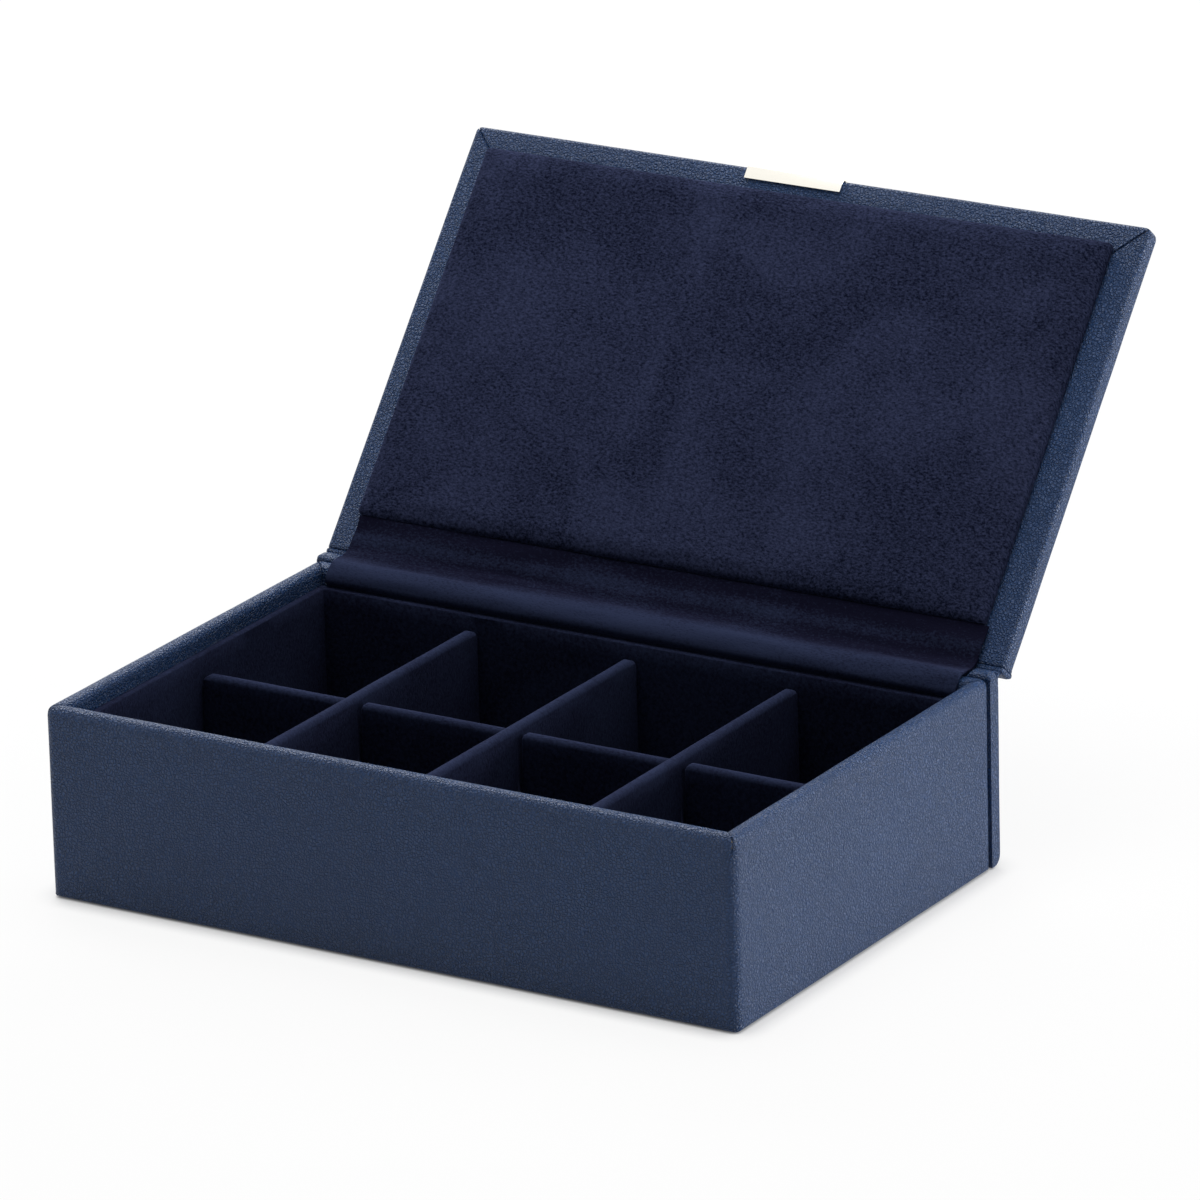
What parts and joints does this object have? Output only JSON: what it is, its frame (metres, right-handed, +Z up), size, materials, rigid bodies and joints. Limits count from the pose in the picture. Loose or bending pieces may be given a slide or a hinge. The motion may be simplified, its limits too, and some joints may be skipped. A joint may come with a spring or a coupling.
{
  "type": "cufflink display box",
  "caption": "Leather-covered cufflink box with a suede-lined grid of compartments and a padded lid that swings shut on a soft leather joint, with a metal clip at its edge.",
  "frame": {"origin": "centre of the tray's underside, on the face it rests on", "axes": "+X to the right seen from the front, +Y to the back where the hinge is, +Z up"},
  "size_m": [0.1812, 0.1943, 0.1313],
  "materials": {
    "navy_leather": "pebbled, satin",
    "navy_suede": "napped, matte",
    "grey_board": "matte",
    "lining_card": "matte",
    "underside_paper": "matte",
    "foam": "open cell, matte",
    "clip_metal": "polished"
  },
  "bodies": {
    "tray": {"base_board": "grey_board", "front_wall_board": "grey_board", "back_wall_board": "grey_board", "left_wall_board": "grey_board", "right_wall_board": "grey_board", "tray_leather": "navy_leather", "underside_sheet": "underside_paper", "floor_card": "lining_card", "front_lining_card": "lining_card", "back_lining_card": "lining_card", "left_lining_card": "lining_card", "right_lining_card": "lining_card", "floor_suede": "navy_suede", "front_lining_suede": "navy_suede", "back_lining_suede": "navy_suede", "left_lining_suede": "navy_suede", "right_lining_suede": "navy_suede", "long_divider_card": "lining_card", "long_divider_suede": "navy_suede", "left_divider_card": "lining_card", "left_divider_suede": "navy_suede", "middle_divider_card": "lining_card", "middle_divider_suede": "navy_suede", "right_divider_card": "lining_card", "right_divider_suede": "navy_suede", "spine_board": "grey_board", "spine_leather": "navy_leather", "hinge_leather": "navy_leather", "hinge_suede": "navy_suede"},
    "lid": {"lid_board": "grey_board", "lid_leather": "navy_leather", "pad_card": "lining_card", "pad_foam": "foam", "pad_suede": "navy_suede", "opening_clip": "clip_metal"}
  },
  "joints": [
    {"name": "lid_hinge", "type": "hinge", "parent": "tray", "child": "lid", "pos_m": [0, 0.0572, 0.0446], "axis": [1, 0, 0], "range_deg": [0, 130.3], "deforming": ["hinge_leather", "hinge_suede"]}
  ]
}
